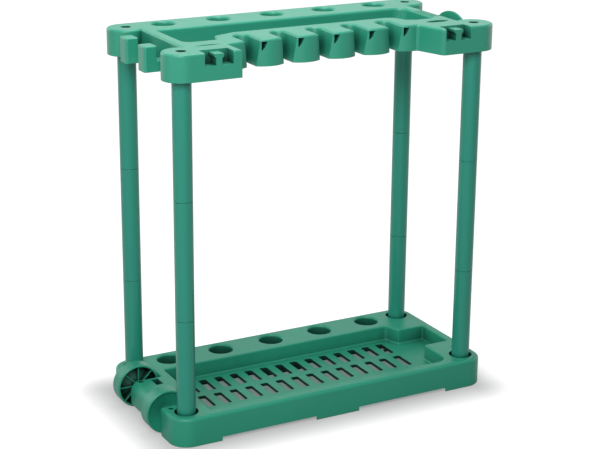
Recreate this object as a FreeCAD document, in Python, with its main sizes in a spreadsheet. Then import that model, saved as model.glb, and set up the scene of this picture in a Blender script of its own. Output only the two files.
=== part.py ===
import FreeCAD, Part
import math
import os
import re

import Sketcher

# Freestanding garden tool rack: a wheeled base tray, four posts of three plug-together
# tubes each, and a top tray that holds the tool handles. Millimetres, Z up, floor at Z = 0.
# Every piece is drawn about the middle of the four posts, then moved along X so that the
# origin lies under the middle of the whole rack, wheels included.

SIZES = {
    # posts
    "post_span_x": 550.0,
    "post_span_y": 223.0,
    "post_diameter": 32.0,
    "post_wall": 2.0,
    "segment_length": 204.0,
    "spigot_length": 30.0,
    "spigot_gap": 0.15,
    "joint_chamfer": 0.8,
    # both trays
    "wall": 3.0,
    "edge_round": 2.5,
    "mouth_round": 4.0,
    "handle_pitch": 103.5,
    "handle_hole": 40.0,
    # base tray
    "base_length": 616.0,
    "base_depth": 291.0,
    "base_height": 52.0,
    "base_corner": 34.0,
    "rim_round": 6.0,
    "foot_round": 2.0,
    "foot_rise": 8.0,
    "socket_floor": 12.0,
    "socket_recess": 41.5,
    "recess_depth": 12.0,
    "left_deck": 39.0,
    "right_deck": 35.0,
    "front_rim": 21.0,
    "side_rim": 17.0,
    "back_beam": 75.0,
    "alcove_front": 67.0,
    "alcove_back": 71.0,
    "jog_step": 3.0,
    "trough_lean": 10.0,
    "trough_round": 3.0,
    "front_turn_round": 21.0,
    "back_turn_round": 8.0,
    "floor_round": 2.5,
    "floor_level": 24.0,
    "floor_thickness": 6.0,
    "cup_depth": 36.0,
    "cup_clearance": 4.0,
    "slot_pitch": 30.8,
    "slot_width": 15.0,
    "slot_length": 48.0,
    "slot_corner": 2.0,
    "row_pitch": 64.0,
    "row_shift": 32.5,
    "foot_length": 84.0,
    "pit_width": 13.0,
    "pit_length": 26.0,
    "pit_depth": 20.0,
    "pit_inset": 6.0,
    "vent_diameter": 9.0,
    "vent_inset": 22.0,
    # wheels
    "wheel_diameter": 77.0,
    "wheel_width": 27.0,
    "wheel_offset": 62.0,
    "wheel_gap": 3.0,
    "wheel_wall": 3.5,
    "wheel_dish": 13.0,
    "wheel_step": 2.0,
    "wheel_chamfer": 1.5,
    "spoke_thickness": 2.0,
    "hub_step": 1.5,
    "hub_gap": 0.3,
    "hub_diameter": 19.0,
    "axle_diameter": 8.0,
    "axle_gap": 0.05,
    "axle_play": 0.5,
    "axle_back": 18.0,
    "axle_height": 39.5,
    "housing_width": 89.0,
    "housing_reach": 36.0,
    "housing_rise": 6.0,
    "nose_round": 18.0,
    "chin_round": 10.0,
    # top tray
    "tray_height": 45.0,
    "top_round": 4.0,
    "shoulder_depth": 4.0,
    "corner_radius": 32.5,
    "beam_width": 80.5,
    "bar_inset": 15.0,
    "bar_width": 20.0,
    "block_length": 91.0,
    "block_depth": 60.0,
    "block_lean": 20.0,
    "block_round": 8.0,
    "right_extra": 6.0,
    "right_step": 16.0,
    "comb_front": 33.0,
    "comb_back": 105.0,
    "comb_slope": 9.0,
    "comb_cut_length": 41.0,
    "comb_cut_depth": 15.0,
    "clip_pitch": 67.7,
    "clip_width": 29.0,
    "clip_depth": 50.0,
    "clip_taper": 8.0,
    "finger_width": 53.0,
    "finger_bulge": 10.0,
    "top_hole": 17.5,
    "inside_round": 14.0,
    "back_left_round": 5.0,
    "back_right_round": 22.0,
    "lug_reach": 34.0,
    "lug_thickness": 21.0,
    "lug_width": 28.0,
    "lug_place": 66.5,
    "lug_pitch": 75.0,
    "lug_round": 4.0,
    "grip_place": 32.0,
    "grip_pitch": 7.0,
    "grip_width": 2.5,
    "grip_depth": 1.2,
    "seat_depth": 28.0,
    "hook_reach": 31.5,
    "hook_diameter": 129.0,
    "hook_lip": 14.0,
    "hook_plate": 3.5,
    "hook_drop": 1.5,
    "notch_place": 51.0,
    "notch_width": 50.0,
    "notch_depth": 21.0,
    "notch_reach": 24.0,
    "stem_width": 10.5,
    "cap_overhang": 3.0,
    "window_inset": 1.5,
    "window_width": 9.5,
    "window_drop": 16.0,
    "dip_length": 48.0,
    "dip_depth": 3.5,
    "right_dip_place": 51.0,
    "right_dip_front": 35.0,
    "right_dip_width": 16.0,
    "left_dip_place": 58.0,
    "left_dip_front": 24.0,
    "left_dip_width": 6.0,
    "bend_round": 6.0,
}

# Counts of like features
HANDLES = 5
CLIPS = 5
GRILLE_COLUMNS = 14
GRILLE_ROWS = 3
SPOKES = 8
GRIP_GROOVES = 9
SEGMENTS = ("lower", "middle", "upper")

doc = FreeCAD.newDocument("garden_tool_rack")
sheet = doc.addObject("Spreadsheet::Sheet", "Sizes")
for row, (alias, size) in enumerate(SIZES.items(), start=1):
    sheet.set("A%d" % row, alias)
    sheet.set("B%d" % row, str(size))
    sheet.setAlias("B%d" % row, alias)
doc.recompute()


def bound(formula):
    """Write a formula of size names the way the document's expressions want it."""
    return re.sub(r"\b(?!sqrt\b)[a-z][a-z_]+\b", lambda name: "Sizes." + name.group(), formula)


def value(formula):
    """Work a formula of size names out as a number."""
    return float(sheet.evalExpression(bound(formula)))


class Drawing:
    """A sketch on one of a body's own planes, every place and size bound to the sheet."""

    def __init__(self, body, name, plane="XY_Plane", height="0"):
        self.sketch = body.newObject("Sketcher::SketchObject", name)
        origin_plane = next(item for item in body.Origin.OriginFeatures if item.Role == plane)
        self.sketch.AttachmentSupport = (origin_plane, "")
        self.sketch.MapMode = "FlatFace"
        self.sketch.setExpression("AttachmentOffset.Base.z", bound(height))

    def hold(self, kind, elements, formula):
        """Add one dimension and bind it."""
        sizes = list(elements) + [value(formula)]
        number = self.sketch.addConstraint(Sketcher.Constraint(kind, *sizes))
        self.sketch.setExpression("Constraints[%d]" % number, bound(formula))

    def place(self, element, point, x, y):
        """Fix one point of an element at a distance from the sketch's origin."""
        self.hold("DistanceX", (-1, 1, element, point), x)
        self.hold("DistanceY", (-1, 1, element, point), y)

    def circle(self, x, y, diameter):
        centre = FreeCAD.Vector(value(x), value(y), 0)
        ring = Part.Circle(centre, FreeCAD.Vector(0, 0, 1), value(diameter) / 2)
        element = self.sketch.addGeometry(ring, False)
        self.place(element, 3, x, y)
        self.hold("Diameter", (element,), diameter)
        return self

    def polygon(self, points):
        """A closed outline of straight lines through the points."""
        corners = [FreeCAD.Vector(value(x), value(y), 0) for x, y in points]
        first = None
        for number, corner in enumerate(corners):
            following = corners[(number + 1) % len(corners)]
            element = self.sketch.addGeometry(Part.LineSegment(corner, following), False)
            if first is None:
                first = element
            else:
                self.sketch.addConstraint(Sketcher.Constraint("Coincident", element - 1, 2, element, 1))
        self.sketch.addConstraint(Sketcher.Constraint("Coincident", element, 2, first, 1))
        for number, (x, y) in enumerate(points):
            self.place(first + number, 1, x, y)
        return self

    def slot(self, x, front, back, width):
        """A U-shaped outline along Y: square at the front end and round at the back."""
        radius = "(%s) / 2" % width
        half = value(radius)
        start = FreeCAD.Vector(value(x) - half, value(front), 0)
        end = FreeCAD.Vector(value(x) + half, value(front), 0)
        turn = FreeCAD.Vector(value(x), value(back), 0)
        right = FreeCAD.Vector(turn.x + half, turn.y, 0)
        left = FreeCAD.Vector(turn.x - half, turn.y, 0)
        arch = Part.ArcOfCircle(Part.Circle(turn, FreeCAD.Vector(0, 0, 1), half), 0, math.pi)
        lines = [Part.LineSegment(left, start), Part.LineSegment(start, end),
                 Part.LineSegment(end, right)]
        first = self.sketch.addGeometry(arch, False)
        for line in lines:
            self.sketch.addGeometry(line, False)
        joins = [(first, 2, first + 1, 1), (first + 1, 2, first + 2, 1),
                 (first + 2, 2, first + 3, 1), (first + 3, 2, first, 1)]
        for join in joins:
            self.sketch.addConstraint(Sketcher.Constraint("Coincident", *join))
        self.hold("DistanceY", (-1, 1, first, 3), back)
        for offset, arch_end, line in ((" + ", 1, first + 2), (" - ", 2, first + 1)):
            self.place(first, arch_end, x + offset + radius, back)
            self.place(line, 2, x + offset + radius, front)
        return self

    def lens(self, x, y, length, width):
        """A pointed oval along X, from two equal arcs."""
        rise = "(%s) / 2" % width
        reach = "(%s) / 2" % length
        radius = "((%s) * (%s) + (%s) * (%s)) / (%s)" % (reach, reach, rise, rise, width)
        size = value(radius)
        half_angle = math.asin(value(reach) / size)
        for sign, middle in ((1, math.pi / 2), (-1, 3 * math.pi / 2)):
            centre = FreeCAD.Vector(value(x), value(y) - sign * (size - value(rise)), 0)
            circle = Part.Circle(centre, FreeCAD.Vector(0, 0, 1), size)
            arc = Part.ArcOfCircle(circle, middle - half_angle, middle + half_angle)
            element = self.sketch.addGeometry(arc, False)
            self.hold("Radius", (element,), radius)
            if sign == 1:
                self.place(element, 1, x + " + " + reach, y)
                self.place(element, 2, x + " - " + reach, y)
                upper = element
        self.sketch.addConstraint(Sketcher.Constraint("Coincident", upper, 2, element, 1))
        self.sketch.addConstraint(Sketcher.Constraint("Coincident", element, 2, upper, 1))
        return self

    def box(self, left, right, front, back):
        return self.polygon([(left, front), (right, front), (right, back), (left, back)])

    def clipped_box(self, left, right, front, back, cut):
        """A box with its four corners cut off at a slant."""
        return self.polygon([
            (left + " + " + cut, front), (right + " - " + cut, front),
            (right, front + " + " + cut), (right, back + " - " + cut),
            (right + " - " + cut, back), (left + " + " + cut, back),
            (left, back + " - " + cut), (left, front + " + " + cut),
        ])


def new_body(name):
    """A body drawn about the middle of the four posts, set over the rack's own origin."""
    body = doc.addObject("PartDesign::Body", name)
    body.Label = name
    body.setExpression("Placement.Base.x", bound(SHIFT))
    return body


def pad(body, drawing, length, reverse=False):
    feature = body.newObject("PartDesign::Pad", drawing.sketch.Name + "_pad")
    feature.Profile = drawing.sketch
    feature.setExpression("Length", bound(length))
    feature.Reversed = reverse
    drawing.sketch.Visibility = False
    return feature


def revolve(body, drawing, axis):
    """Turn a profile once round an axis of its own sketch."""
    feature = body.newObject("PartDesign::Revolution", drawing.sketch.Name + "_turned")
    feature.Profile = drawing.sketch
    feature.ReferenceAxis = (drawing.sketch, [axis])
    feature.Angle = 360
    drawing.sketch.Visibility = False
    return feature


def pocket(body, drawing, length, reverse=False):
    feature = body.newObject("PartDesign::Pocket", drawing.sketch.Name + "_cut")
    feature.Profile = drawing.sketch
    feature.setExpression("Length", bound(length))
    feature.Reversed = reverse
    drawing.sketch.Visibility = False
    return feature


def repeat(body, feature, drawing, length, copies):
    """Repeat a feature in a straight row along X."""
    row = body.newObject("PartDesign::LinearPattern", feature.Name + "_row")
    row.Originals = [feature]
    row.Direction = (drawing.sketch, ["H_Axis"])
    row.setExpression("Length", bound(length))
    row.Occurrences = copies
    body.Tip = row
    return row


def edges_where(feature, wanted):
    """Names of a feature's edges whose middle point and shape pass a test."""
    names = []
    for number, edge in enumerate(feature.Shape.Edges, start=1):
        if edge.Length > 0.001:
            middle = edge.valueAt((edge.FirstParameter + edge.LastParameter) / 2)
            if wanted(middle, edge):
                names.append("Edge%d" % number)
    return names


def upright(edge):
    """Whether a straight edge runs along Z."""
    start, end = edge.Vertexes[0].Point, edge.Vertexes[-1].Point
    return abs(end.z - start.z) > 0.99 * edge.Length


def stands_at(at, x, y):
    """Whether a point lies over a given place."""
    return math.hypot(at.x - value(x), at.y - value(y)) < 0.1


def fillet(body, feature, names, radius, name):
    rounding = body.newObject("PartDesign::Fillet", name)
    rounding.Base = (feature, names)
    rounding.setExpression("Radius", bound(radius))
    return rounding


# Places that several pieces share
POST_X = {"left": "-post_span_x / 2", "right": "post_span_x / 2"}
POST_Y = {"front": "-post_span_y / 2", "back": "post_span_y / 2"}
POSTS = [(across, along) for along in POST_Y for across in POST_X]
TRAY_BOTTOM = "(socket_floor + 3 * segment_length - shoulder_depth)"
TRAY_TOP = "(socket_floor + 3 * segment_length - shoulder_depth + tray_height)"
AXLE_X = "(-post_span_x / 2 - axle_back)"
SHIFT = "(wheel_diameter / 4 + axle_back / 2 + post_span_x / 4 - base_length / 4)"
TROUGH_LEFT = "(-post_span_x / 2 + left_deck)"
TROUGH_RIGHT = "(post_span_x / 2 - right_deck)"
TROUGH_FRONT = "(-base_depth / 2 + front_rim)"
TROUGH_BACK = "(base_depth / 2 - back_beam)"
CUP = "(handle_hole + cup_clearance)"


def handle_places():
    """X of the five tool handles that stand in a row at the back."""
    return ["%d * handle_pitch" % step for step in range(-(HANDLES // 2), HANDLES // 2 + 1)]


def make_base():
    body = new_body("base_tray")
    half_x = "base_length / 2"
    half_y = "base_depth / 2"

    # the outer block with rounded corners, and the axle housing at the left end
    outline = Drawing(body, "base_outline")
    outline.box("-base_length / 2", half_x, "-base_depth / 2", half_y)
    block = pad(body, outline, "base_height")
    doc.recompute()
    corners = edges_where(block, lambda at, edge: upright(edge))
    block = fillet(body, block, corners, "base_corner", "base_corners")
    doc.recompute()
    rims = edges_where(block, lambda at, edge: at.z > value("base_height") - 0.01)
    block = fillet(body, block, rims, "rim_round", "outer_rims")
    doc.recompute()
    bottoms = edges_where(block, lambda at, edge: at.z < 0.01)
    fillet(body, block, bottoms, "foot_round", "outer_bottoms")
    gap = Drawing(body, "housing_gap")
    gap.box("-base_length", "-post_span_x / 2", "-housing_width / 2", "housing_width / 2")
    pocket(body, gap, "base_height", True)
    housing = Drawing(body, "axle_housing", height="housing_rise")
    housing.box("-post_span_x / 2 - housing_reach", "-post_span_x / 2 + wall",
                "-housing_width / 2", "housing_width / 2")
    nose = pad(body, housing, "base_height - housing_rise")

    # the wheel wells, round about the axle and open to the left
    well_width = "(wheel_offset + wheel_width / 2 + wheel_gap - housing_width / 2)"
    for name, start in (("front", "housing_width / 2"), ("rear", "-housing_width / 2 - " + well_width)):
        well = Drawing(body, name + "_well", "XZ_Plane", start)
        well.circle(AXLE_X, "axle_height", "wheel_diameter + 2 * wheel_gap")
        pocket(body, well, well_width, True)
        mouth = Drawing(body, name + "_well_mouth", "XZ_Plane", start)
        mouth.box(AXLE_X + " - wheel_diameter", AXLE_X, "-foot_rise", "base_height + foot_rise")
        nose = pocket(body, mouth, well_width, True)
    doc.recompute()
    for rounding, level, name in (("nose_round", "base_height", "nose_rounding"),
                                  ("chin_round", "housing_rise", "chin_rounding")):
        tip = edges_where(nose, lambda at, edge: abs(at.x - value("-post_span_x / 2 - housing_reach")) < 0.1
                          and abs(at.z - value(level)) < 0.1)
        nose = fillet(body, nose, tip, rounding, name)
        doc.recompute()
    well_edges = edges_where(nose, lambda at, edge: abs(at.z - value("base_height")) < 0.01
                             and at.x < value(AXLE_X + " + wheel_diameter")
                             and abs(at.y) < value("housing_width / 2 + " + well_width) + 0.1
                             and abs(at.y) > value("housing_width / 2") - 0.1)
    fillet(body, nose, well_edges, "edge_round", "well_rims")
    bore = Drawing(body, "axle_bore", "XZ_Plane", "-base_depth / 4")
    bore.circle(AXLE_X, "axle_height", "axle_diameter + 2 * axle_gap")
    pocket(body, bore, "base_depth / 2", True)

    # the trough that the long tools stand in, with its alcove at the right
    trough = Drawing(body, "trough", height="base_height")
    back_turn = TROUGH_RIGHT + " - jog_step - trough_lean"
    trough.polygon([
        (TROUGH_LEFT, TROUGH_FRONT),
        (TROUGH_RIGHT, TROUGH_FRONT),
        (TROUGH_RIGHT, "-post_span_y / 2 + alcove_front"),
        ("base_length / 2 - side_rim", "-post_span_y / 2 + alcove_front"),
        ("base_length / 2 - side_rim", "post_span_y / 2 - alcove_back"),
        (TROUGH_RIGHT + " - jog_step", "post_span_y / 2 - alcove_back"),
        (back_turn, TROUGH_BACK),
        (TROUGH_LEFT, TROUGH_BACK),
    ])
    hollow = pocket(body, trough, "base_height - floor_level")
    doc.recompute()
    for x, y, rounding, name in ((TROUGH_RIGHT, TROUGH_FRONT, "front_turn_round", "trough_front_turn"),
                                 (back_turn, TROUGH_BACK, "back_turn_round", "trough_back_turn")):
        turn = edges_where(hollow, lambda at, edge: upright(edge) and stands_at(at, x, y))
        hollow = fillet(body, hollow, turn, rounding, name)
        doc.recompute()
    turns = edges_where(hollow, lambda at, edge: upright(edge) and at.z > value("floor_level")
                        and (stands_at(at, TROUGH_LEFT, TROUGH_FRONT)
                             or stands_at(at, TROUGH_LEFT, TROUGH_BACK)
                             or at.x > value(back_turn) + 1 and at.x < value("base_length / 2 - side_rim") + 1
                             and abs(at.y) < value("post_span_y / 2 - alcove_front") + 1))
    hollow = fillet(body, hollow, turns, "trough_round", "trough_turns")
    doc.recompute()
    foot = edges_where(hollow, lambda at, edge: abs(at.z - value("floor_level")) < 0.01)
    hollow = fillet(body, hollow, foot, "floor_round", "trough_floor_edge")
    doc.recompute()
    rims = edges_where(hollow, lambda at, edge: abs(at.z - value("base_height")) < 0.01
                       and at.x > value(TROUGH_LEFT) - 1 and at.x < value("base_length / 2 - side_rim") + 1
                       and abs(at.y) < value("base_depth / 2 - front_rim") + 1)
    fillet(body, hollow, rims, "edge_round", "trough_rims")

    # the grille in the floor of the trough: one column of slots, repeated to the right
    grille = Drawing(body, "grille", height="floor_level")
    first = "-%.1f * slot_pitch" % ((GRILLE_COLUMNS - 1) / 2)
    for row in range(-(GRILLE_ROWS // 2), GRILLE_ROWS // 2 + 1):
        across = "%d * row_pitch - row_shift" % row
        grille.clipped_box(first + " - slot_width / 2", first + " + slot_width / 2",
                           across + " - slot_length / 2", across + " + slot_length / 2", "slot_corner")
    column = pocket(body, grille, "floor_level")
    repeat(body, column, grille, "%d * slot_pitch" % (GRILLE_COLUMNS - 1), GRILLE_COLUMNS)

    # sockets for the posts and cups for the handles
    recesses = Drawing(body, "recesses", height="base_height")
    sockets = Drawing(body, "sockets", height="base_height")
    for across, along in POSTS:
        recesses.circle(POST_X[across], POST_Y[along], "socket_recess")
        sockets.circle(POST_X[across], POST_Y[along], "post_diameter + 2 * spigot_gap")
    pocket(body, recesses, "recess_depth")
    pocket(body, sockets, "base_height - socket_floor")
    cups = Drawing(body, "cups", height="base_height")
    for place in handle_places():
        cups.circle(place, "post_span_y / 2", CUP)
    cup_cut = pocket(body, cups, "cup_depth")
    doc.recompute()
    mouths = edges_where(cup_cut, lambda at, edge: abs(at.z - value("base_height")) < 0.01
                         and edge.Curve.TypeId == "Part::GeomCircle"
                         and abs(edge.Curve.Radius - value(CUP) / 2) < 0.01)
    fillet(body, cup_cut, mouths, "mouth_round", "cup_mouths")

    # two pockets in the deck beside the axle housing, and four small vents near the wheels
    pits = Drawing(body, "deck_pits", height="base_height")
    vents = Drawing(body, "vents", height="base_height")
    pits.box("-post_span_x / 2", "-post_span_x / 2 + pit_width",
             "housing_width / 2 - pit_inset - pit_length", "housing_width / 2 - pit_inset")
    pits.box("-post_span_x / 2", "-post_span_x / 2 + pit_width",
             "-housing_width / 2 + pit_inset", "-housing_width / 2 + pit_inset + pit_length")
    for side in ("-", ""):
        for along in ("(housing_width / 2 - pit_inset)", "(post_span_y / 2 - vent_inset)"):
            vents.circle(AXLE_X, side + along, "vent_diameter")
    pocket(body, pits, "pit_depth")
    pocket(body, vents, "pit_depth / 2")

    # six feet: everything else stands a little above the floor
    between = Drawing(body, "between_feet")
    between.box("-base_length", "base_length",
                "-base_depth / 2 + foot_length", "base_depth / 2 - foot_length")
    pocket(body, between, "foot_rise", True)
    arches = Drawing(body, "arches")
    arches.box("-base_length / 2 + foot_length", "-foot_length / 2", "-base_depth", "base_depth")
    arches.box("foot_length / 2", "base_length / 2 - foot_length", "-base_depth", "base_depth")
    pocket(body, arches, "foot_rise", True)

    # the underside is open: walls round the edge, round the trough, sockets and cups
    under = Drawing(body, "under_floor")
    under.box(TROUGH_LEFT + " + wall", TROUGH_RIGHT + " - wall",
              TROUGH_FRONT + " + wall", TROUGH_BACK + " - wall")
    pocket(body, under, "floor_level - floor_thickness", True)
    channels = Drawing(body, "channels")
    channel_end = "(post_span_x / 2 - base_corner)"
    channels.box("-" + channel_end, channel_end, TROUGH_BACK + " + wall", "base_depth / 2 - wall")
    for place in handle_places():
        channels.circle(place, "post_span_y / 2", CUP + " + 2 * wall")
    channels.box("-" + channel_end, channel_end, "-base_depth / 2 + wall", TROUGH_FRONT + " - wall")
    channels.box("base_length / 2 - side_rim + wall", "base_length / 2 - wall",
                 "-post_span_y / 2 + alcove_front", "post_span_y / 2 - alcove_back")
    for across, along in POSTS:
        channels.circle(POST_X[across], POST_Y[along], "2 * (base_corner - wall)")
        channels.circle(POST_X[across], POST_Y[along], "socket_recess + 2 * wall")
    pocket(body, channels, "base_height - wall", True)
    ribs = Drawing(body, "base_ribs", height="foot_rise")
    for step in range(1, HANDLES):
        middle = "%.1f * handle_pitch" % (step - HANDLES / 2)
        ribs.box(middle + " - wall / 2", middle + " + wall / 2",
                 TROUGH_BACK, "base_depth / 2 - wall / 2")
    pad(body, ribs, "base_height - foot_rise - wall / 2")
    return body


def make_segment(across, along, level):
    """One post tube: a plain tube with a thinner spigot at its top."""
    body = new_body("post_%s_%s_%s" % (along, across, SEGMENTS[level]))
    profile = Drawing(body, body.Label + "_profile", "XZ_Plane")
    inner = "(post_diameter / 2 - post_wall)"
    spigot = "(post_diameter / 2 - post_wall - spigot_gap)"
    top = "(segment_length + spigot_length)"
    profile.polygon([
        (inner, "0"),
        ("post_diameter / 2 - joint_chamfer", "0"),
        ("post_diameter / 2", "joint_chamfer"),
        ("post_diameter / 2", "segment_length"),
        (spigot, "segment_length"),
        (spigot, top + " - joint_chamfer"),
        (spigot + " - joint_chamfer", top),
        (spigot + " - post_wall", top),
        (spigot + " - post_wall", "segment_length - post_wall"),
        (inner, "segment_length - 2 * post_wall"),
    ])
    revolve(body, profile, "V_Axis")
    body.setExpression("Placement.Base.x", bound(POST_X[across] + " + " + SHIFT))
    body.setExpression("Placement.Base.y", bound(POST_Y[along]))
    body.setExpression("Placement.Base.z", bound("socket_floor + %d * segment_length" % level))
    return body


def make_wheel(name, side):
    """A moulded wheel: dished and closed outside, open with a hub and spokes inside."""
    body = new_body(name)
    profile = Drawing(body, name + "_profile")
    rim = "(wheel_diameter / 2 - wheel_wall)"
    face = "(-wheel_width / 2)"
    web = "(-wheel_width / 2 + wheel_dish)"
    bore = "(axle_diameter / 2 + axle_gap)"
    hub_end = "(wheel_offset - housing_width / 2 - hub_gap)"
    hub = "hub_diameter / 2"
    profile.polygon([
        ("0", web),
        ("0", web + " + wheel_wall"),
        (bore, web + " + wheel_wall"),
        (bore, hub_end),
        (hub, hub_end),
        (hub, web + " - hub_step + wheel_wall"),
        (rim, face + " + wheel_step + wheel_wall"),
        (rim, "wheel_width / 2"),
        ("wheel_diameter / 2 - wheel_chamfer", "wheel_width / 2"),
        ("wheel_diameter / 2", "wheel_width / 2 - wheel_chamfer"),
        ("wheel_diameter / 2", face + " + wheel_chamfer"),
        ("wheel_diameter / 2 - wheel_chamfer", face),
        (rim, face),
        (rim, face + " + wheel_step"),
        (hub, web + " - hub_step"),
    ])
    revolve(body, profile, "V_Axis")
    spoke = Drawing(body, name + "_spoke", height="-spoke_thickness / 2")
    spoke.polygon([
        (hub + " - wheel_wall / 4", web + " - hub_step + wheel_wall / 2"),
        (rim + " + wheel_wall / 4", face + " + wheel_step + wheel_wall / 2"),
        (rim + " + wheel_wall / 4", "wheel_width / 2 - wheel_wall"),
        (hub + " - wheel_wall / 4", "wheel_width / 2 - wheel_wall"),
    ])
    blade = pad(body, spoke, "spoke_thickness")
    spokes = body.newObject("PartDesign::PolarPattern", name + "_spokes")
    spokes.Originals = [blade]
    spokes.Axis = (spoke.sketch, ["V_Axis"])
    spokes.Angle = 360
    spokes.Occurrences = SPOKES
    body.Tip = spokes
    body.setExpression("Placement.Base.x", bound(AXLE_X + " + " + SHIFT))
    body.setExpression("Placement.Base.z", bound("axle_height"))
    if side == "front":
        body.setExpression("Placement.Base.y", bound("-wheel_offset"))
    else:
        body.Placement.Rotation = FreeCAD.Rotation(FreeCAD.Vector(0, 0, 1), 180)
        body.setExpression("Placement.Base.y", bound("wheel_offset"))
    return body


def make_axle():
    body = new_body("axle")
    half = "(wheel_offset + wheel_width / 2 - wheel_dish - wheel_wall - axle_play)"
    rod = Drawing(body, "axle_section", "XZ_Plane", "-" + half)
    rod.circle("0", "0", "axle_diameter")
    bar = pad(body, rod, "2 * " + half)
    doc.recompute()
    chamfer = body.newObject("PartDesign::Chamfer", "axle_ends")
    chamfer.Base = (bar, edges_where(bar, lambda at, edge: edge.Closed))
    chamfer.setExpression("Size", bound("joint_chamfer"))
    body.setExpression("Placement.Base.x", bound(AXLE_X + " + " + SHIFT))
    body.setExpression("Placement.Base.z", bound("axle_height"))
    return body


def make_tray():
    body = new_body("top_tray")
    block_front = "(-post_span_y / 2 - corner_radius)"
    block_back = "(-post_span_y / 2 + block_depth)"
    comb_front = "(-post_span_y / 2 + comb_front)"
    comb_back = "(-post_span_y / 2 + comb_back)"
    beam_front = "(post_span_y / 2 + corner_radius - beam_width)"
    beam_back = "(post_span_y / 2 + corner_radius)"
    block_left = "(-post_span_x / 2 + block_length)"
    block_right = "(post_span_x / 2 - block_length)"
    right_back = "(-post_span_y / 2 + block_depth + right_extra)"
    slope_left = "(-post_span_x / 2 + block_length + comb_slope)"
    bar_out = "(post_span_x / 2 - bar_inset)"
    bar_in = "(post_span_x / 2 - bar_inset - bar_width)"

    # the outer form: front blocks and comb in one outline, then the back beam, the two
    # end bars, the round corner blocks and the two lugs at the left end
    front = Drawing(body, "front_outline", height=TRAY_BOTTOM)
    front.polygon([
        ("-post_span_x / 2", block_front),
        (block_left, block_front),
        (block_left, comb_front),
        (block_right + " - block_lean / 2", comb_front),
        (block_right + " + block_lean / 2", block_front),
        ("post_span_x / 2", block_front),
        ("post_span_x / 2", "-post_span_y / 2"),
        (bar_out, "-post_span_y / 2"),
        (bar_out, right_back),
        (block_right + " + right_step", right_back),
        (block_right, right_back + " + right_step / 2"),
        (block_right + " - right_step / 2", comb_back + " - right_step / 2"),
        (block_right + " - 3 * right_step / 2", comb_back),
        (slope_left + " + comb_cut_length", comb_back),
        (slope_left, comb_back + " - comb_cut_depth"),
        (block_left, block_back),
        ("-" + bar_out, block_back),
        ("-" + bar_out, "-post_span_y / 2"),
        ("-post_span_x / 2", "-post_span_y / 2"),
    ])
    pad(body, front, "tray_height")
    noses = Drawing(body, "finger_fronts", height=TRAY_BOTTOM)
    for step in range(CLIPS + 1):
        noses.lens("%.1f * clip_pitch" % (step - CLIPS / 2), comb_front,
                   "finger_width", "2 * finger_bulge")
    pad(body, noses, "tray_height")
    beam = Drawing(body, "beam_outline", height=TRAY_BOTTOM)
    beam.polygon([
        ("-" + bar_out, beam_front),
        (bar_out, beam_front),
        (bar_out, "post_span_y / 2"),
        ("post_span_x / 2", "post_span_y / 2"),
        ("post_span_x / 2", beam_back),
        ("-post_span_x / 2", beam_back),
        ("-post_span_x / 2", "post_span_y / 2"),
        ("-" + bar_out, "post_span_y / 2"),
    ])
    pad(body, beam, "tray_height")
    bars = Drawing(body, "bar_outline", height=TRAY_BOTTOM)
    bars.box("-" + bar_out, "-" + bar_in, "-post_span_y / 2", "post_span_y / 2")
    bars.box(bar_in, bar_out, "-post_span_y / 2", "post_span_y / 2")
    pad(body, bars, "tray_height")
    corners = Drawing(body, "corner_outline", height=TRAY_BOTTOM)
    for across, along in POSTS:
        corners.circle(POST_X[across], POST_Y[along], "2 * corner_radius")
    form = pad(body, corners, "tray_height")
    doc.recompute()
    turned = (("-" + bar_in, block_back, "inside_round", "front_left_turn"),
              (bar_in, right_back, "inside_round", "front_right_turn"),
              ("-" + bar_in, beam_front, "back_left_round", "back_left_turn"),
              (bar_in, beam_front, "back_right_round", "back_right_turn"),
              (block_right + " + block_lean / 2", block_front, "block_round", "block_turn"))
    for x, y, rounding, name in turned:
        turn = edges_where(form, lambda at, edge: upright(edge) and stands_at(at, x, y))
        form = fillet(body, form, turn, rounding, name)
        doc.recompute()
    hollow_turn = edges_where(form, lambda at, edge: upright(edge)
                              and at.x > value(block_right + " - block_lean / 2")
                              and at.x < value(block_right)
                              and at.y < value(comb_front) - 1 and at.y > value(block_front) + 1)
    form = fillet(body, form, hollow_turn, "bend_round", "finger_turn")
    doc.recompute()
    bends = edges_where(form, lambda at, edge: upright(edge) and at.y > value(comb_front) + 1
                        and at.y < value(comb_back) + 1
                        and abs(at.x) < value(block_right + " + right_step") + 1
                        and abs(at.y - value(block_back)) > 0.1)
    form = fillet(body, form, bends, "bend_round", "comb_bends")

    # the clips of the comb: U-shaped cuts, wide at the top and narrow at the bottom
    clips = Drawing(body, "clips", height=TRAY_TOP)
    clips.slot("-%d * clip_pitch" % (CLIPS // 2), comb_front + " - clip_width / 2",
               comb_front + " + clip_depth - clip_width / 2", "clip_width")
    clip = pocket(body, clips, "tray_height")
    clip.setExpression("TaperAngle", bound("-clip_taper"))
    form = repeat(body, clip, clips, "%d * clip_pitch" % (CLIPS - 1), CLIPS)
    doc.recompute()
    tops = edges_where(form, lambda at, edge: abs(at.z - value(TRAY_TOP)) < 0.01)
    form = fillet(body, form, tops, "top_round", "top_rounding")

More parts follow.
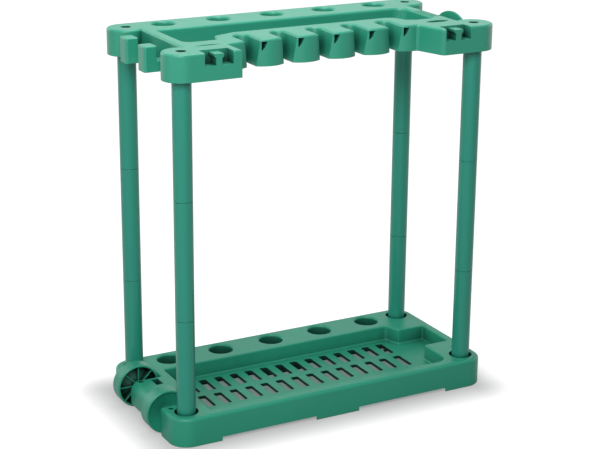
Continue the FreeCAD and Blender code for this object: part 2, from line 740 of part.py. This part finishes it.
    # two lugs at the left end, each with a low seat beside the end bar
    lugs = Drawing(body, "lugs", height=TRAY_BOTTOM)
    seats = Drawing(body, "lug_seats", height=TRAY_TOP)
    for number in range(2):
        near = "-post_span_y / 2 + lug_place + %d * lug_pitch" % number
        lugs.box("-post_span_x / 2 - lug_reach", "-" + bar_out + " + wall",
                 near, near + " + lug_width")
        seats.box("-post_span_x / 2 - lug_reach + lug_thickness", "-" + bar_out,
                  near + " - wall", near + " + lug_width + wall")
    form = pad(body, lugs, "tray_height - wall")
    form = pocket(body, seats, "seat_depth")
    doc.recompute()
    far = value("-post_span_x / 2 - lug_reach")
    sides = edges_where(form, lambda at, edge: abs(at.x - far) < 0.1 and upright(edge))
    form = fillet(body, form, sides, "lug_round", "lug_sides")
    doc.recompute()
    lug_tops = edges_where(form, lambda at, edge: at.x < value("-post_span_x / 2 - lug_reach + lug_thickness") - 1
                           and abs(at.z - value(TRAY_TOP + " - wall")) < 0.1)
    form = fillet(body, form, lug_tops, "edge_round", "lug_rounding")

    # the hook at the right end: an arched saddle with an upright half-round plate
    plate_x = "post_span_x / 2 + hook_reach - hook_plate"
    axis_z = TRAY_TOP + " - hook_drop - hook_diameter / 2"
    saddle = Drawing(body, "hook_saddle", "YZ_Plane", bar_out + " - wall")
    saddle.circle("0", axis_z, "hook_diameter - 2 * hook_lip")
    saddle.circle("0", axis_z, "hook_diameter - 2 * hook_lip - 2 * wall")
    pad(body, saddle, "hook_reach + bar_inset + wall - hook_plate / 2")
    plate = Drawing(body, "hook_plate", "YZ_Plane", plate_x)
    plate.circle("0", axis_z, "hook_diameter")
    form = pad(body, plate, "hook_plate")
    doc.recompute()
    plate_edges = edges_where(form, lambda at, edge: edge.Closed
                              and abs(at.x - value(plate_x + " + hook_plate")) < 0.1)
    form = fillet(body, form, plate_edges, "hook_plate / 3", "hook_rounding")
    below = Drawing(body, "below_hook", height=TRAY_BOTTOM)
    below.box(bar_in, "base_length", "-hook_diameter", "hook_diameter")
    pocket(body, below, "2 * hook_diameter")

    # double notches in the front of both front blocks, with a T-shaped lug between
    sill = "(%s - notch_depth)" % TRAY_TOP
    neck = "(%s - notch_depth / 2)" % TRAY_TOP
    cap_left = "-stem_width / 2 - cap_overhang"
    cap_right = "stem_width / 2 + cap_overhang"
    for side in ("-", ""):
        name = "left" if side else "right"
        notch = Drawing(body, name + "_notch", "XZ_Plane", "-(%s) + wall" % block_front)
        middle = side + "(post_span_x / 2 - notch_place)"
        outline = [("-notch_width / 2", sill),
                   ("-stem_width / 2", sill),
                   ("-stem_width / 2", neck),
                   (cap_left, neck + " + cap_overhang"),
                   (cap_left, TRAY_TOP + " - wall"),
                   (cap_right, TRAY_TOP + " - wall"),
                   (cap_right, neck + " + cap_overhang"),
                   ("stem_width / 2", neck),
                   ("stem_width / 2", sill),
                   ("notch_width / 2", sill),
                   ("notch_width / 2", TRAY_TOP + " + wall"),
                   ("-notch_width / 2", TRAY_TOP + " + wall")]
        notch.polygon([(middle + " + " + x, z) for x, z in outline])
        pocket(body, notch, "notch_reach + wall")

    # five round holes for the handles, and the small holes over the posts
    holes = Drawing(body, "handle_holes", height=TRAY_TOP)
    for place in handle_places():
        holes.circle(place, "post_span_y / 2", "handle_hole")
    form = pocket(body, holes, "tray_height")
    doc.recompute()
    mouths = edges_where(form, lambda at, edge: edge.Closed
                         and abs(at.z - value(TRAY_TOP)) < 0.01
                         and abs(edge.Length - math.pi * value("handle_hole")) < 0.1)
    form = fillet(body, form, mouths, "mouth_round", "hole_rounding")
    top_holes = Drawing(body, "top_holes", height=TRAY_TOP)
    bores = Drawing(body, "spigot_bores", height=TRAY_BOTTOM)
    shoulders = Drawing(body, "shoulder_bores", height=TRAY_BOTTOM)
    for across, along in POSTS:
        top_holes.circle(POST_X[across], POST_Y[along], "top_hole")
        bores.circle(POST_X[across], POST_Y[along], "post_diameter - 2 * post_wall")
        shoulders.circle(POST_X[across], POST_Y[along], "post_diameter + 2 * spigot_gap")
    pocket(body, top_holes, "tray_height / 2")
    pocket(body, bores, "tray_height - wall", True)
    pocket(body, shoulders, "shoulder_depth", True)

    # the underside is open: the beam, bars, blocks, comb and corners are shells
    shells = Drawing(body, "tray_shells", height=TRAY_BOTTOM)
    shells.box("-" + bar_in, bar_in, beam_front + " + wall", beam_back + " - wall")
    for place in handle_places():
        shells.circle(place, "post_span_y / 2", "handle_hole + 2 * wall")
    for across, along in POSTS:
        skin = "wall" if along == "back" else "3 * wall"
        shells.circle(POST_X[across], POST_Y[along], "2 * (corner_radius - %s)" % skin)
        shells.circle(POST_X[across], POST_Y[along], "post_diameter + 2 * spigot_gap + 2 * wall")
    shells.box("-" + bar_out + " + wall", "-" + bar_in + " - wall",
               block_back + " + wall", beam_front + " - wall")
    shells.box(bar_in + " + wall", bar_out + " - wall",
               right_back + " + wall", beam_front + " - wall")
    shells.polygon([
        (slope_left + " + wall", comb_front + " + clip_depth + wall"),
        (block_right + " - right_step / 2 - wall", comb_front + " + clip_depth + wall"),
        (block_right + " - right_step / 2 - wall", comb_back + " - right_step / 2 - wall"),
        (block_right + " - 3 * right_step / 2", comb_back + " - wall"),
        (slope_left + " + comb_cut_length", comb_back + " - wall"),
        (slope_left + " + wall", comb_back + " - comb_cut_depth - wall"),
    ])
    pocket(body, shells, "tray_height - wall", True)
    fingers = Drawing(body, "finger_shells", height=TRAY_BOTTOM)
    finger_back = comb_front + " + clip_depth + 3 * wall / 2"
    for step in range(CLIPS - 1):
        middle = "%.1f * clip_pitch" % (step - CLIPS / 2 + 1)
        fingers.box(middle + " - (clip_pitch - clip_width) / 2 + wall",
                    middle + " + (clip_pitch - clip_width) / 2 - wall",
                    comb_front + " + wall", finger_back)
    last = "(%d * clip_pitch + clip_width / 2 + wall)" % (CLIPS // 2)
    fingers.box(slope_left + " + wall", "-" + last, comb_front + " + wall", finger_back)
    fingers.box(last, block_right + " - block_lean / 2 - wall", comb_front + " + wall", finger_back)
    pocket(body, fingers, "tray_height - wall", True)
    blocks = Drawing(body, "block_shells", height=TRAY_BOTTOM)
    blocks.box("-post_span_x / 2 + corner_radius", block_left + " - wall",
               block_front + " + notch_reach + wall", block_back + " - wall")
    blocks.box(block_right + " + block_lean / 2 + wall", "post_span_x / 2 - corner_radius",
               block_front + " + notch_reach + wall", right_back + " - wall")
    pocket(body, blocks, "tray_height - 3 * wall", True)

    # each finger has a three-cornered window in the upper left of its front wall
    windows = Drawing(body, "windows", "XZ_Plane", "-(%s) + finger_bulge + wall" % comb_front)
    for step in range(CLIPS):
        edge = "%d * clip_pitch + clip_width / 2 + window_inset" % (step - CLIPS // 2)
        windows.polygon([(edge, TRAY_TOP + " - top_round"),
                         (edge, TRAY_TOP + " - top_round - window_drop"),
                         (edge + " + 3 * window_width / 5", TRAY_TOP + " - top_round - 3 * window_drop / 5"),
                         (edge + " + window_width", TRAY_TOP + " - top_round")])
    pocket(body, windows, "finger_bulge + 3 * wall")

    # a row of small grooves across the top of the right end bar
    grips = Drawing(body, "grips", "XZ_Plane", "grip_place")
    grips.box(bar_in, bar_out, TRAY_TOP + " - grip_depth", TRAY_TOP + " + grip_depth")
    groove = pocket(body, grips, "grip_width", True)
    grooves = body.newObject("PartDesign::LinearPattern", "grip_row")
    grooves.Originals = [groove]
    grooves.Direction = (grips.sketch, ["N_Axis"])
    grooves.Reversed = True
    grooves.setExpression("Length", bound("%d * grip_pitch" % (GRIP_GROOVES - 1)))
    grooves.Occurrences = GRIP_GROOVES
    body.Tip = grooves

    # shallow finger dips in the tops of the front blocks
    dips = Drawing(body, "dips", height=TRAY_TOP)
    dips.lens("post_span_x / 2 - right_dip_place", "-post_span_y / 2 + right_dip_front",
              "dip_length", "right_dip_width")
    dips.lens("-post_span_x / 2 + left_dip_place", "-post_span_y / 2 + left_dip_front",
              "dip_length", "left_dip_width")
    pocket(body, dips, "dip_depth")
    return body


def make_everything():
    make_base()
    for across, along in POSTS:
        for level in range(len(SEGMENTS)):
            make_segment(across, along, level)
    make_axle()
    make_wheel("front_wheel", "front")
    make_wheel("rear_wheel", "rear")
    make_tray()
    doc.recompute()


def save_everything():
    """Stop on any broken feature, then write one STEP file for each body."""
    broken = [item.Name for item in doc.Objects if "Invalid" in item.State or "Error" in item.State]
    if broken:
        raise RuntimeError("features that did not build: %s" % broken)
    os.makedirs("parts", exist_ok=True)
    for body in doc.findObjects("PartDesign::Body"):
        if body.Shape.isNull() or not body.Shape.isValid():
            raise RuntimeError("not a valid solid: %s" % body.Label)
        body.Shape.exportStep("parts/%s.step" % body.Label)
        print(body.Label, len(body.Shape.Solids), "solid", round(body.Shape.Volume / 1000), "cm3")


make_everything()
save_everything()
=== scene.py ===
import math

import bpy
from mathutils import Matrix, Vector


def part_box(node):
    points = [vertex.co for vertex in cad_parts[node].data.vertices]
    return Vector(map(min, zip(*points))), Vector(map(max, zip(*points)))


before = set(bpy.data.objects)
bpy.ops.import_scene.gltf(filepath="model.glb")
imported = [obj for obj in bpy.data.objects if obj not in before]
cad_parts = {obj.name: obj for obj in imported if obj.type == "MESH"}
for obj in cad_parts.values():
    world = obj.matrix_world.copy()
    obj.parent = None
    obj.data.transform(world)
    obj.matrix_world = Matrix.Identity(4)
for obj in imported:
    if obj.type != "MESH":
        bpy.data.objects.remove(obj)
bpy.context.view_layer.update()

# The garden tool rack in a white studio. Everything is in metres, in the part's own frame.
# Every shape of the rack is the CAD's own, and this script gives each its material.

# The camera looks down a little at the rack from the front left.
SENSOR_WIDTH = 36.0
CAMERA_LENS = 97.24
CAMERA_AZIMUTH = math.radians(-28.53)
CAMERA_ELEVATION = math.radians(17.78)
CAMERA_ROLL = math.radians(0.46)
CAMERA_DISTANCE = 2.840
CAMERA_AIM = Vector((0.005, -0.010, 0.3125))
CAMERA_SEES_TO = 50.0

# Each lamp has its place, the side of its square and its power in watts.
LAMP_AIM = (0.0, 0.0, 0.45)
LAMPS = {
    "key": ((-1.35, -1.75, 1.75), 1.2, 60.0),
    "front": ((-0.8, -2.8, 0.6), 1.2, 4.0),
    "top": ((0.0, 0.12, 1.70), 0.5, 11.5),
    "left": ((-2.6, -0.5, 0.7), 1.0, 6.0),
    "back": ((-1.5, 2.5, 1.2), 1.6, 18.0),
    "right": ((2.7, 0.1, 0.9), 1.2, 13.0),
    "sheen": ((1.5, 2.3, 1.1), 1.6, 2.0),
}

# The world is plain white where it is seen, and faint as a light.
WHITE = (1.0, 1.0, 1.0, 1.0)
WORLD_SEEN = 1.0
WORLD_LIGHT = 0.08

# The floor has a grey of its own that takes the shadow, and a white glow for the camera.
FLOOR_SIZE = 12.0
FLOOR_DROP = 0.0005
FLOOR_GREY = (0.20, 0.20, 0.20, 1.0)
FLOOR_ROUGHNESS = 0.9

# Outside the rack's footprint the glow grows over GLOW_DISTANCE, so beside the rack it is
# dimmer, a painted shade. Under the rack it is dimmer still, a painted shade, and a little green,
# a painted light thrown off the rack, in full from UNDER_DISTANCE inside the footprint's edge.
FOOTPRINT_HALF = (0.29, 0.14, 0.0)
GLOW_BESIDE_SHADED, GLOW_AWAY = 0.40, 1.0
GLOW_DISTANCE = 0.10
UNDER_DISTANCE = 0.025
UNDER_SHADE_LEVEL = 0.45
UNDER_BOUNCE_TINT = (0.72, 1.0, 0.93, 1.0)


def middle_of(name):
    """The middle of a CAD node's box."""
    low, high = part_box(name)
    return (low + high) / 2


# Where the lines of the four posts are: the middle between them, and half their spacing.
FRONT_LEFT_POST = middle_of("post_front_left_lower")
BACK_RIGHT_POST = middle_of("post_back_right_lower")
POSTS_MIDDLE = (FRONT_LEFT_POST + BACK_RIGHT_POST) / 2
POSTS_HALF = (BACK_RIGHT_POST - FRONT_LEFT_POST) / 2

# The radius and the upper end of the two kinds of well on each post's line: the small hole
# over it in the top tray, and the socket round it in the base.
POST_HOLE = (0.0125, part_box("top_tray")[1].z)
POST_SOCKET = (0.0209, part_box("base_tray")[1].z)

# The painted shade in a well fades out over this distance at its side, and between these two
# depths below its upper end.
WELL_SIDE_FADE = 0.0003
WELL_TOP_FADE = (0.0018, 0.0006)

# The middle and half size of the space under the trough's floor, where the slots' walls are,
# and the distance over which the painted shade there fades out.
UNDER_FLOOR = ((0.0, -0.027, 0.011), (0.245, 0.095, 0.0122))
BOX_FADE = 0.0006

# One noise gives the plastics their flow marks, in colour and in a faint unevenness, and
# another gives them patches of more and less gloss.
FLOW_MARKS = {"Scale": 7.0, "Detail": 4.0, "Roughness": 0.55, "Distortion": 0.6}
FLOW_SHADES = (0.93, 1.07)
FLOW_BUMPS = {"Strength": 0.25, "Distance": 0.0008}
GLOSS_PATCHES = {"Scale": 28.0, "Detail": 5.0, "Roughness": 0.6}
GLOSS_SPREAD = 0.06

# The fine grain of the mould.
GRAIN = {"Scale": 1300.0, "Detail": 2.0, "Roughness": 0.5}
GRAIN_DEPTH = 0.0002

# Edges look rounded by this radius. A painted highlight makes them paler, and they are also
# smoother, both the most where the cosine of the turn is EDGE_TURN.
EDGE_RADIUS = 0.0014
EDGE_SAMPLES = 6
EDGE_TURN = 0.80
EDGE_HIGHLIGHT_SHARE = 0.30
EDGE_HIGHLIGHT_GAIN = 1.5
EDGE_HIGHLIGHT_LIFT = 0.02
EDGE_POLISH = -0.10

# Painted shade in a hollow is darkest up to the first share of open surroundings, and a face is
# plain from the second share on.
HOLLOW_SHARES = (0.15, 0.75)
HOLLOW_SAMPLES = 8

# Each plastic has its colour, roughness and strength of grain, the brightness and reach of the
# painted shade in its hollows, and its shine. The base also has painted shade in its sockets and
# under its floor. The posts' marks are drawn out into streaks, and their neighbours add to the
# painted shade on them too.
PLASTICS = {
    "tray_plastic": dict(color=(0.020, 0.262, 0.166), roughness=0.40, grain=0.12,
                         shade_level=0.08, reach=0.032, shine=0.42),
    "base_plastic": dict(color=(0.020, 0.256, 0.161), roughness=0.44, grain=0.12,
                         shade_level=0.08, reach=0.052, shine=0.28,
                         wells=POST_SOCKET, shade_box=UNDER_FLOOR),
    "post_plastic": dict(color=(0.018, 0.232, 0.164), roughness=0.34, grain=0.05,
                         shade_level=0.30, reach=0.018, shine=0.30,
                         streaks=(6.0, 6.0, 0.4), alone=False),
    "wheel_plastic": dict(color=(0.015, 0.225, 0.142), roughness=0.42, grain=0.12,
                          shade_level=0.02, reach=0.040, shine=0.30),
}

STEEL_COLOR = (0.55, 0.56, 0.57, 1.0)
STEEL_PATCHES = {"Scale": 60.0, "Detail": 6.0}
STEEL_ROUGHNESS = (0.28, 0.42)

# Where the Mix node keeps the factor and the two colours, and its mixed colour.
MIX_INPUTS = (0, 6, 7)
MIX_OUTPUT = 2


def material(name):
    """A new material with its node tree and its surface shader."""
    made = bpy.data.materials.new(name)
    made.use_nodes = True
    tree = made.node_tree
    return made, tree, tree.nodes["Principled BSDF"]


def node(tree, kind, **values):
    """Add a node and set its input sockets and properties by name."""
    made = tree.nodes.new(kind)
    for name, value in values.items():
        if name in made.inputs:
            made.inputs[name].default_value = value
        else:
            setattr(made, name, value)
    return made


def feed(tree, sockets, sources):
    """Give input sockets their sources, each an output socket or a plain value."""
    for socket, source in zip(sockets, sources):
        if isinstance(source, bpy.types.NodeSocket):
            tree.links.new(source, socket)
        else:
            socket.default_value = source


def step(tree, operation, *sources):
    """One step of arithmetic on values, each a socket or a number."""
    made = node(tree, "ShaderNodeMath", operation=operation)
    feed(tree, made.inputs, sources)
    return made.outputs["Value"]


def vector_step(tree, operation, *sources, output="Vector"):
    """One step of arithmetic on vectors, each a socket or three numbers."""
    made = node(tree, "ShaderNodeVectorMath", operation=operation)
    feed(tree, made.inputs, sources)
    return made.outputs[output]


def mapped(tree, source, low, high, to_low=0.0, to_high=1.0, smooth=False):
    """A value moved from one range to another."""
    made = node(tree, "ShaderNodeMapRange")
    if smooth:
        made.interpolation_type = "SMOOTHSTEP"
    names = ("Value", "From Min", "From Max", "To Min", "To Max")
    feed(tree, [made.inputs[name] for name in names], (source, low, high, to_low, to_high))
    return made.outputs["Result"]


def mixed_color(tree, factor, first, second):
    """Two colours, each a socket or a plain colour, mixed by a socket or a number."""
    made = node(tree, "ShaderNodeMix", data_type="RGBA")
    feed(tree, [made.inputs[index] for index in MIX_INPUTS], (factor, first, second))
    return made.outputs[MIX_OUTPUT]


def scaled(color, gain, lift=0.0):
    """A colour made lighter or darker, with its alpha."""
    return (*[min(1.0, channel * gain + lift) for channel in color], 1.0)


def own_place(tree):
    """The place of each point in its object's own frame, which is the rack's at rest."""
    return node(tree, "ShaderNodeTexCoord").outputs["Object"]


def axes(tree, vector):
    """The X, Y and Z of a vector."""
    made = node(tree, "ShaderNodeSeparateXYZ")
    tree.links.new(vector, made.inputs["Vector"])
    return made.outputs


def noise(tree, place, settings):
    """Procedural noise at a place."""
    made = node(tree, "ShaderNodeTexNoise", **settings)
    tree.links.new(place, made.inputs["Vector"])
    return made.outputs["Fac"]


def bumped(tree, height, normal, **settings):
    """A normal with the bumps of a height on it."""
    made = node(tree, "ShaderNodeBump", **settings)
    tree.links.new(height, made.inputs["Height"])
    tree.links.new(normal, made.inputs["Normal"])
    return made.outputs["Normal"]


def past_half(tree, place, half):
    """How far a place lies past a half size along each axis, on either side of the middle."""
    return vector_step(tree, "SUBTRACT", vector_step(tree, "ABSOLUTE", place), half)


def outside_distance(tree, past):
    """The distance to a box, from how far a place lies past its half size."""
    return vector_step(tree, "LENGTH", vector_step(tree, "MAXIMUM", past, (0.0, 0.0, 0.0)),
                       output="Value")


def hollows(tree, reach, alone):
    """A mask for painted shade: 1 on open faces, falling to 0 far into a piece's own hollows, or
    into any.
    """
    depth = node(tree, "ShaderNodeAmbientOcclusion", Distance=reach, samples=HOLLOW_SAMPLES,
                 only_local=alone)
    return mapped(tree, depth.outputs["AO"], *HOLLOW_SHARES)


def unlit_wells(tree, place, radius, top):
    """A mask for painted shade that is 0 inside the narrow wells on the lines of the four posts.
    """
    offset = past_half(tree, vector_step(tree, "SUBTRACT", place, POSTS_MIDDLE), POSTS_HALF)
    level = vector_step(tree, "MULTIPLY", offset, (1.0, 1.0, 0.0))
    from_axis = vector_step(tree, "LENGTH", level, output="Value")
    inside = mapped(tree, from_axis, radius, radius + WELL_SIDE_FADE, 1.0, 0.0)
    deeper, higher = WELL_TOP_FADE
    below = mapped(tree, axes(tree, place)["Z"], top - deeper, top - higher, 1.0, 0.0)
    return mapped(tree, step(tree, "MULTIPLY", inside, below), 0.0, 1.0, 1.0, 0.0)


def unlit_box(tree, place, middle, half):
    """A mask for painted shade that is 0 inside a box."""
    past = past_half(tree, vector_step(tree, "SUBTRACT", place, middle), half)
    return mapped(tree, outside_distance(tree, past), 0.0, BOX_FADE)


def edge_highlight_and_polish_mask(tree, rounded):
    """A mask for the painted highlight and the smoother gloss on edges, bright only where the
    rounded normal leaves the true one.
    """
    true_normal = node(tree, "ShaderNodeNewGeometry").outputs["Normal"]
    along = vector_step(tree, "DOT_PRODUCT", rounded, true_normal, output="Value")
    return mapped(tree, along, 1.0, EDGE_TURN)


def moulded_plastic(name, color, roughness, grain, shade_level, reach, shine,
                    streaks=(1.0, 1.0, 1.0), alone=True, wells=POST_HOLE, shade_box=None):
    """Satin moulded plastic: fine grain, faint flow marks, smoother edges with a painted
    highlight, and painted shade in its hollows and wells.
    """
    made, tree, shader = material(name)
    link = tree.links.new
    place = own_place(tree)
    stretch = node(tree, "ShaderNodeMapping", Scale=streaks)
    link(place, stretch.inputs["Vector"])

    # faint broad flow marks in the colour, as moulded plastic has
    flow = noise(tree, stretch.outputs["Vector"], FLOW_MARKS)
    darker, lighter = FLOW_SHADES
    base = mixed_color(tree, flow, scaled(color, darker), scaled(color, lighter))

    # a painted highlight makes the edges a little paler, and a painted shade darkens the hollows
    # and the wells, and the box under the floor where one is given
    bevel = node(tree, "ShaderNodeBevel", Radius=EDGE_RADIUS, samples=EDGE_SAMPLES)
    rounded = bevel.outputs["Normal"]
    edge_highlight_and_polish = edge_highlight_and_polish_mask(tree, rounded)
    highlight_color = scaled(color, EDGE_HIGHLIGHT_GAIN, EDGE_HIGHLIGHT_LIFT)
    base = mixed_color(tree, step(tree, "MULTIPLY", edge_highlight_and_polish, EDGE_HIGHLIGHT_SHARE), base, highlight_color)
    lit = step(tree, "MULTIPLY", hollows(tree, reach, alone), unlit_wells(tree, place, *wells))
    if shade_box:
        lit = step(tree, "MULTIPLY", lit, unlit_box(tree, place, *shade_box))
    link(mixed_color(tree, lit, scaled(color, shade_level), base), shader.inputs["Base Color"])

    # gloss that changes a little from place to place, and is higher on the edges
    patches = noise(tree, stretch.outputs["Vector"], GLOSS_PATCHES)
    gloss = mapped(tree, patches, 0.0, 1.0, roughness - GLOSS_SPREAD, roughness + GLOSS_SPREAD)
    link(step(tree, "MULTIPLY_ADD", edge_highlight_and_polish, EDGE_POLISH, gloss), shader.inputs["Roughness"])
    shader.inputs["Specular IOR Level"].default_value = shine

    # fine spark-eroded grain over a faint unevenness of the wall
    fine = noise(tree, place, GRAIN)
    grainy = bumped(tree, fine, rounded, Strength=grain, Distance=GRAIN_DEPTH)
    link(bumped(tree, flow, grainy, **FLOW_BUMPS), shader.inputs["Normal"])
    return made


def plated_steel(name):
    """Plated steel whose gloss changes a little from place to place."""
    made, tree, shader = material(name)
    patches = noise(tree, own_place(tree), STEEL_PATCHES)
    gloss = mapped(tree, patches, 0.0, 1.0, *STEEL_ROUGHNESS)
    tree.links.new(gloss, shader.inputs["Roughness"])
    shader.inputs["Metallic"].default_value = 1.0
    shader.inputs["Base Color"].default_value = STEEL_COLOR
    return made


def clear_rays(tree):
    """1 for the camera's own rays, reflections and glass, and 0 for light that falls on things."""
    seen = node(tree, "ShaderNodeLightPath").outputs
    direct = step(tree, "MAXIMUM", seen["Is Camera Ray"], seen["Is Glossy Ray"])
    return step(tree, "MAXIMUM", direct, seen["Is Transmission Ray"])


def floor_material():
    """Grey that takes the shadow, with a white glow for the camera that is full farther away, and
    dimmer near and under the rack as a painted shade.
    """
    made, tree, shader = material("floor")
    link = tree.links.new
    shader.inputs["Base Color"].default_value = FLOOR_GREY
    shader.inputs["Roughness"].default_value = FLOOR_ROUGHNESS
    shader.inputs["Specular IOR Level"].default_value = 0.0

    # the glow grows with the distance outside the rack's footprint, so a painted shade lies beside
    # it
    past = past_half(tree, own_place(tree), FOOTPRINT_HALF)
    glow = mapped(tree, outside_distance(tree, past), 0.0, GLOW_DISTANCE,
                  GLOW_BESIDE_SHADED, GLOW_AWAY, smooth=True)

    # and it is dimmer and greener under the rack, where the slots show it: a painted shade and a
    # painted green light from the rack
    sides = axes(tree, past)
    nearest = step(tree, "MAXIMUM", sides["X"], sides["Y"])
    free = mapped(tree, nearest, -UNDER_DISTANCE, 0.0)
    glow = step(tree, "MULTIPLY", glow, mapped(tree, free, 0.0, 1.0, UNDER_SHADE_LEVEL, 1.0))
    link(mixed_color(tree, free, UNDER_BOUNCE_TINT, WHITE), shader.inputs["Emission Color"])
    link(step(tree, "MULTIPLY", clear_rays(tree), glow), shader.inputs["Emission Strength"])
    return made


def placed(name, data):
    """A new object of the scene."""
    made = bpy.data.objects.new(name, data)
    bpy.context.scene.collection.objects.link(made)
    return made


def make_camera():
    """The camera that looks at the rack as the photograph does."""
    data = bpy.data.cameras.new("camera")
    data.sensor_width = SENSOR_WIDTH
    data.lens = CAMERA_LENS
    data.clip_end = CAMERA_SEES_TO
    camera = placed("camera", data)
    forward = Vector((-math.sin(CAMERA_AZIMUTH) * math.cos(CAMERA_ELEVATION),
                      math.cos(CAMERA_AZIMUTH) * math.cos(CAMERA_ELEVATION),
                      -math.sin(CAMERA_ELEVATION)))
    turn = forward.to_track_quat("-Z", "Y").to_matrix().to_4x4()
    roll = Matrix.Rotation(CAMERA_ROLL, 4, "Z")
    place = Matrix.Translation(CAMERA_AIM - forward * CAMERA_DISTANCE)
    camera.matrix_world = place @ turn @ roll
    bpy.context.scene.camera = camera


def make_world():
    """White for the camera, reflections and glass, and a soft grey light for everything else."""
    world = bpy.data.worlds.new("studio")
    bpy.context.scene.world = world
    world.use_nodes = True
    tree = world.node_tree
    tree.nodes.clear()
    soft = node(tree, "ShaderNodeBackground", Color=WHITE, Strength=WORLD_LIGHT)
    bright = node(tree, "ShaderNodeBackground", Color=WHITE, Strength=WORLD_SEEN)
    choose = node(tree, "ShaderNodeMixShader")
    feed(tree, choose.inputs,
         (clear_rays(tree), soft.outputs["Background"], bright.outputs["Background"]))
    out = node(tree, "ShaderNodeOutputWorld")
    tree.links.new(choose.outputs["Shader"], out.inputs["Surface"])


def make_floor():
    """A square floor just under the feet, as part of the stage."""
    data = bpy.data.meshes.new("floor")
    half = FLOOR_SIZE / 2
    corners = [(-half, -half, 0.0), (half, -half, 0.0), (half, half, 0.0), (-half, half, 0.0)]
    data.from_pydata(corners, [], [(0, 1, 2, 3)])
    data.materials.append(floor_material())
    floor = placed("floor", data)
    floor.location.z = -FLOOR_DROP


def make_lamps():
    """Square soft lamps round the rack, all aimed at one point and none of them in view."""
    for name, (place, size, power) in LAMPS.items():
        data = bpy.data.lights.new(name, "AREA")
        data.shape = "SQUARE"
        data.size = size
        data.energy = power
        lamp = placed(name, data)
        lamp.location = place
        lamp.visible_camera = False
        direction = Vector(LAMP_AIM) - Vector(place)
        lamp.rotation_euler = direction.to_track_quat("-Z", "Y").to_euler()


def look_for(name, looks):
    """The material of a CAD node, from the node's name."""
    if name == "axle":
        return looks["zinc_plated_steel"]
    if name == "base_tray":
        return looks["base_plastic"]
    if name.startswith("post"):
        return looks["post_plastic"]
    if name.endswith("wheel"):
        return looks["wheel_plastic"]
    return looks["tray_plastic"]


def dress_everything():
    """Give each CAD node its material, in place of the plain one that it came with."""
    looks = {name: moulded_plastic(name, **values) for name, values in PLASTICS.items()}
    looks["zinc_plated_steel"] = plated_steel("zinc_plated_steel")
    for name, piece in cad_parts.items():
        piece.data.materials.clear()
        piece.data.materials.append(look_for(name, looks))


bpy.context.scene.view_settings.view_transform = "Standard"
make_camera()
make_world()
make_floor()
make_lamps()
dress_everything()
